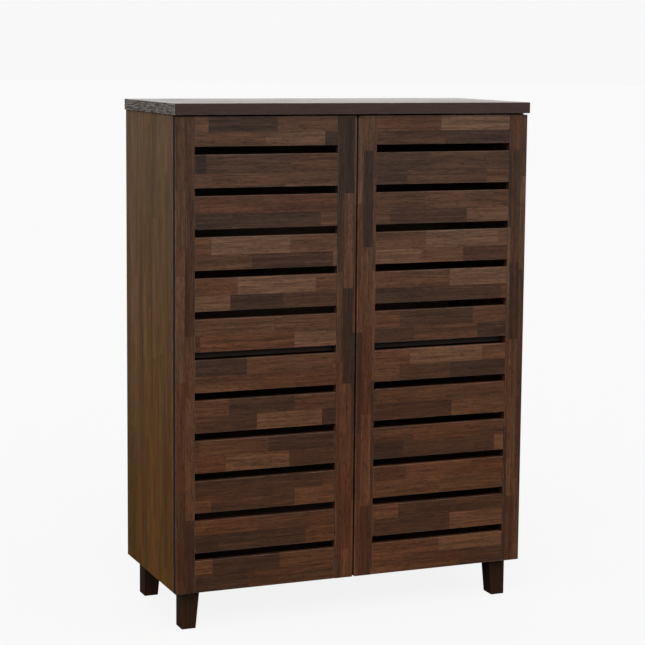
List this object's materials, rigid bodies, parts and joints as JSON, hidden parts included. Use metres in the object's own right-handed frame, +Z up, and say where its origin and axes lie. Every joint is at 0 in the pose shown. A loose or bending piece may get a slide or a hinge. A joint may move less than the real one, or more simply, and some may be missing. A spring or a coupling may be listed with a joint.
{
  "type": "shoe cabinet",
  "caption": "Shoe cabinet with louvred doors on concealed hinges, a fixed middle shelf, adjustable shelves, a flat top and short tapered legs.",
  "frame": {"origin": "on the floor, under the middle of the cabinet's outline", "axes": "+Z up along the height, +X to the right seen from the front, +Y from the doors to the back panel"},
  "size_m": [0.756, 0.3286, 1.0285],
  "materials": {
    "carcass_walnut": "satin oiled walnut strips",
    "door_walnut": "satin oiled walnut strips",
    "dark_wood": "dark stained, satin",
    "hardboard": "matt thin board",
    "plated_steel": "nickel plated pressed steel"
  },
  "bodies": {
    "root": {"top_panel": "carcass_walnut", "left_side_panel": "carcass_walnut", "right_side_panel": "carcass_walnut", "bottom_panel": "carcass_walnut", "back_panel": "hardboard", "middle_shelf": "carcass_walnut", "adjustable_shelf_1": "carcass_walnut", "adjustable_shelf_2": "carcass_walnut", "adjustable_shelf_3": "carcass_walnut", "adjustable_shelf_4": "carcass_walnut", "front_left_leg": "dark_wood", "front_right_leg": "dark_wood", "rear_left_leg": "dark_wood", "rear_right_leg": "dark_wood", "left_lower_hinge_arm": "plated_steel", "left_upper_hinge_arm": "plated_steel", "right_lower_hinge_arm": "plated_steel", "right_upper_hinge_arm": "plated_steel"},
    "left_long_links": {"left_lower_hinge_long_link": "plated_steel", "left_upper_hinge_long_link": "plated_steel"},
    "left_short_links": {"left_lower_hinge_short_link": "plated_steel", "left_upper_hinge_short_link": "plated_steel"},
    "left_door": {"left_door_hinge_stile": "door_walnut", "left_door_meeting_stile": "door_walnut", "left_door_slat_01": "door_walnut", "left_door_slat_02": "door_walnut", "left_door_slat_03": "door_walnut", "left_door_slat_04": "door_walnut", "left_door_slat_05": "door_walnut", "left_door_slat_06": "door_walnut", "left_door_slat_07": "door_walnut", "left_door_slat_08": "door_walnut", "left_door_slat_09": "door_walnut", "left_door_slat_10": "door_walnut", "left_door_slat_11": "door_walnut", "left_door_slat_12": "door_walnut", "left_lower_hinge_cup": "plated_steel", "left_upper_hinge_cup": "plated_steel"},
    "right_long_links": {"right_lower_hinge_long_link": "plated_steel", "right_upper_hinge_long_link": "plated_steel"},
    "right_short_links": {"right_lower_hinge_short_link": "plated_steel", "right_upper_hinge_short_link": "plated_steel"},
    "right_door": {"right_door_hinge_stile": "door_walnut", "right_door_meeting_stile": "door_walnut", "right_door_slat_01": "door_walnut", "right_door_slat_02": "door_walnut", "right_door_slat_03": "door_walnut", "right_door_slat_04": "door_walnut", "right_door_slat_05": "door_walnut", "right_door_slat_06": "door_walnut", "right_door_slat_07": "door_walnut", "right_door_slat_08": "door_walnut", "right_door_slat_09": "door_walnut", "right_door_slat_10": "door_walnut", "right_door_slat_11": "door_walnut", "right_door_slat_12": "door_walnut", "right_lower_hinge_cup": "plated_steel", "right_upper_hinge_cup": "plated_steel"}
  },
  "joints": [
    {"name": "left_long_links_turn", "type": "hinge", "parent": "root", "child": "left_long_links", "pos_m": [-0.333, -0.10075, 0.5405], "axis": [0, 0, 1], "range_deg": [0, 23.4]},
    {"name": "left_door_opening", "type": "hinge", "parent": "left_long_links", "child": "left_door", "pos_m": [-0.3661, -0.14585, 0.5405], "axis": [0, 0, -1], "range_deg": [0, 113.3]},
    {"name": "left_short_links_turn", "type": "hinge", "parent": "root", "child": "left_short_links", "pos_m": [-0.3515, -0.13975, 0.5405], "axis": [0, 0, 1], "range_deg": [0, 59.1]},
    {"name": "right_long_links_turn", "type": "hinge", "parent": "root", "child": "right_long_links", "pos_m": [0.333, -0.10075, 0.5405], "axis": [0, 0, -1], "range_deg": [0, 23.4]},
    {"name": "right_door_opening", "type": "hinge", "parent": "right_long_links", "child": "right_door", "pos_m": [0.3661, -0.14585, 0.5405], "axis": [0, 0, 1], "range_deg": [0, 113.3]},
    {"name": "right_short_links_turn", "type": "hinge", "parent": "root", "child": "right_short_links", "pos_m": [0.3515, -0.13975, 0.5405], "axis": [0, 0, -1], "range_deg": [0, 59.1]}
  ],
  "couplings": [
    {"joint": "left_long_links_turn", "follows": "left_door_opening", "ratio": 0.2057},
    {"joint": "left_short_links_turn", "follows": "left_door_opening", "ratio": 0.5211},
    {"joint": "right_long_links_turn", "follows": "right_door_opening", "ratio": 0.2057},
    {"joint": "right_short_links_turn", "follows": "right_door_opening", "ratio": 0.5211}
  ]
}
